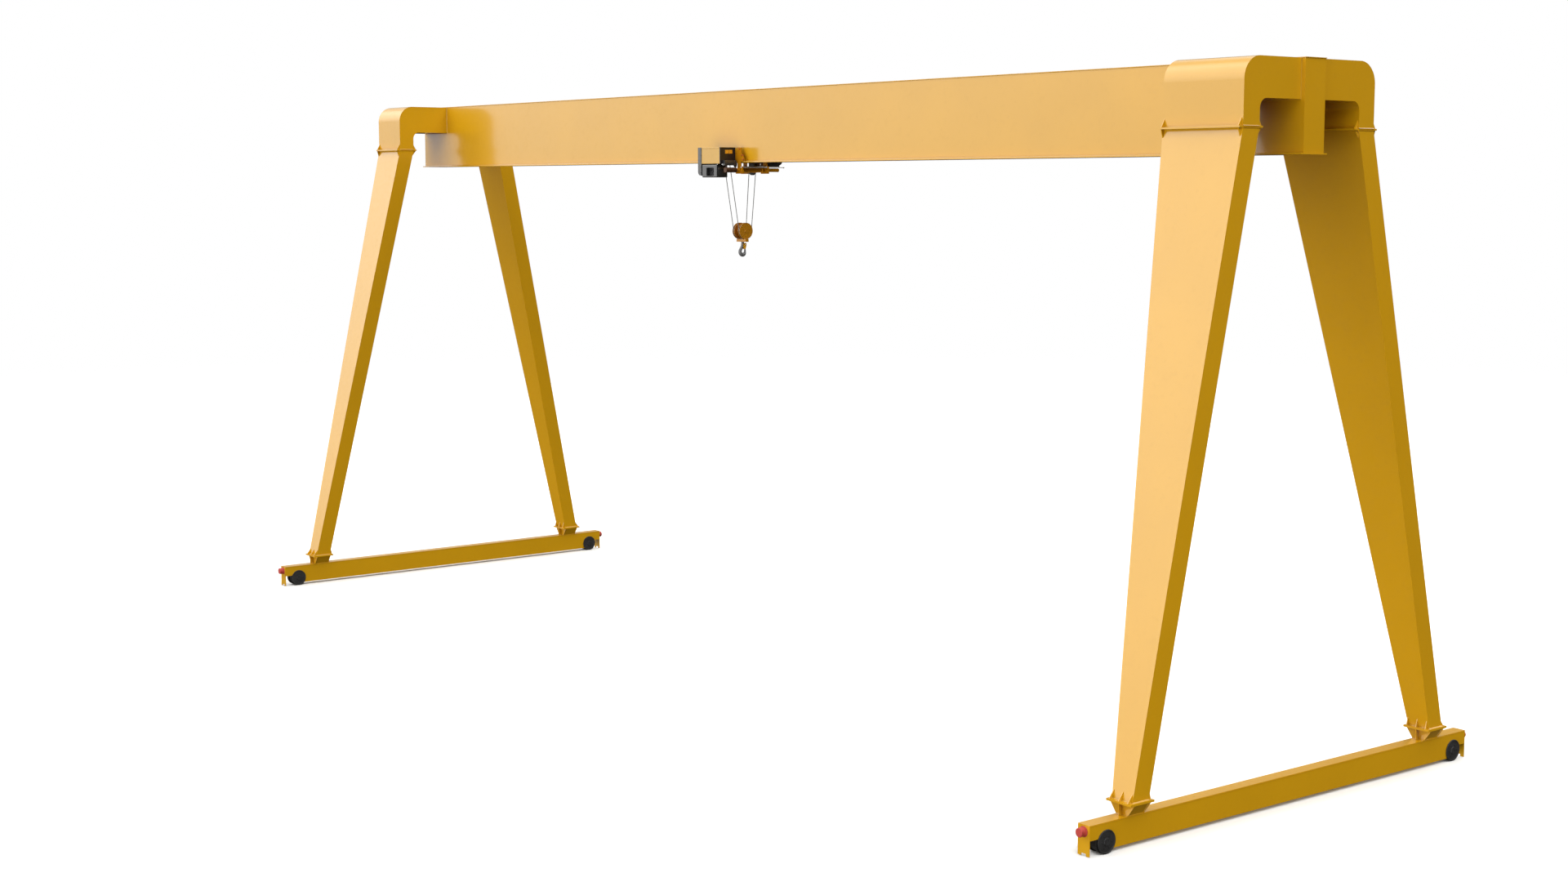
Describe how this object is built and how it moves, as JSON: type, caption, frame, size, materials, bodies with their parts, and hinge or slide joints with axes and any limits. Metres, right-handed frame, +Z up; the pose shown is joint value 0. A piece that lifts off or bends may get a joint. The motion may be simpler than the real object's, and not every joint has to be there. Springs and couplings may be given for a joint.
{
  "type": "gantry crane",
  "caption": "Single-girder gantry crane on splayed tapered legs and wheeled end carriages, with an underhung rope hoist trolley and a hook.",
  "frame": {"origin": "on the floor, midway between the two rails", "axes": "+X along the girder towards the wide pair of legs, +Y along the rails towards the rear, +Z up"},
  "size_m": [20.461, 6.87, 8.592],
  "materials": {
    "crane_paint": "satin yellow-orange enamel",
    "wheel_steel": "dark blackened steel",
    "buffer_rubber": "matte red rubber",
    "trolley_paint": "satin orange enamel",
    "trolley_steel": "bare machined steel",
    "hoist_paint": "satin yellow enamel",
    "hoist_dark": "near-black enamel",
    "hoist_grey": "dark grey enamel",
    "rope_steel": "galvanised wire rope",
    "block_paint": "satin orange enamel",
    "hook_steel": "forged dark grey steel",
    "latch_paint": "yellow enamel"
  },
  "bodies": {
    "gantry": {"girder_top_plate": "crane_paint", "girder_bottom_flange": "crane_paint", "girder_front_web": "crane_paint", "girder_rear_web": "crane_paint", "girder_end_plates": "crane_paint", "near_front_elbow": "crane_paint", "near_rear_elbow": "crane_paint", "far_front_elbow": "crane_paint", "far_rear_elbow": "crane_paint", "near_front_leg": "crane_paint", "near_rear_leg": "crane_paint", "far_front_leg": "crane_paint", "far_rear_leg": "crane_paint", "elbow_flanges": "crane_paint", "leg_flanges": "crane_paint", "foot_saddles": "crane_paint", "near_carriage_plates": "crane_paint", "far_carriage_plates": "crane_paint", "near_carriage_webs": "crane_paint", "far_carriage_webs": "crane_paint", "carriage_end_plates": "crane_paint", "rail_buffers": "buffer_rubber"},
    "trolley": {"trolley_front_side_frame": "trolley_paint", "trolley_rear_side_frame": "trolley_paint", "trolley_tie_bars": "trolley_paint", "return_sheave_carrier": "trolley_paint", "trolley_wheels": "trolley_steel", "trolley_cross_rod": "trolley_steel", "return_sheave": "trolley_steel", "hoist_rope_drum": "trolley_steel", "hoist_drum_cover": "hoist_paint", "hoist_end_cover": "hoist_dark", "trolley_travel_drive": "hoist_dark", "hoist_gearbox": "hoist_grey", "hoist_motor": "hoist_grey", "hoist_switch_box": "hoist_grey", "front_rope_falls": "rope_steel", "rear_rope_falls": "rope_steel", "return_rope_turn": "rope_steel"},
    "hook_block": {"block_covers": "block_paint", "block_sheaves": "trolley_steel", "block_rope_turns": "rope_steel", "block_crosshead": "block_paint"},
    "hook": {"hook": "hook_steel"},
    "hook_latch": {"hook_latch": "latch_paint"},
    "near_front_wheel": {"near_front_wheel": "wheel_steel"},
    "near_rear_wheel": {"near_rear_wheel": "wheel_steel"},
    "far_front_wheel": {"far_front_wheel": "wheel_steel"},
    "far_rear_wheel": {"far_rear_wheel": "wheel_steel"}
  },
  "joints": [
    {"name": "trolley_travel", "type": "slide", "parent": "gantry", "child": "trolley", "axis": [1, 0, 0], "range_m": [-8.18, 9.42]},
    {"name": "hook_lift", "type": "slide", "parent": "trolley", "child": "hook_block", "axis": [0, 0, 1], "range_m": [-5.9, 0.5], "deforming": ["front_rope_falls", "rear_rope_falls"]},
    {"name": "hook_swivel", "type": "hinge", "parent": "hook_block", "child": "hook", "pos_m": [-0.62, 0, 6.3182], "axis": [0, 0, 1], "continuous": true},
    {"name": "latch_pivot", "type": "hinge", "parent": "hook", "child": "hook_latch", "pos_m": [-0.62, 0.032, 6.2722], "axis": [-1, 0, 0], "range_deg": [0, 22], "stiffness_Nm_per_rad": 0.3, "springref_deg": -20.05},
    {"name": "near_front_wheel_roll", "type": "hinge", "parent": "gantry", "child": "near_front_wheel", "pos_m": [10, -3.102, 0.1355], "axis": [1, 0, 0], "continuous": true},
    {"name": "near_rear_wheel_roll", "type": "hinge", "parent": "gantry", "child": "near_rear_wheel", "pos_m": [10, 3.102, 0.1355], "axis": [1, 0, 0], "continuous": true},
    {"name": "far_front_wheel_roll", "type": "hinge", "parent": "gantry", "child": "far_front_wheel", "pos_m": [-10, -3.102, 0.1355], "axis": [1, 0, 0], "continuous": true},
    {"name": "far_rear_wheel_roll", "type": "hinge", "parent": "gantry", "child": "far_rear_wheel", "pos_m": [-10, 3.102, 0.1355], "axis": [1, 0, 0], "continuous": true}
  ]
}
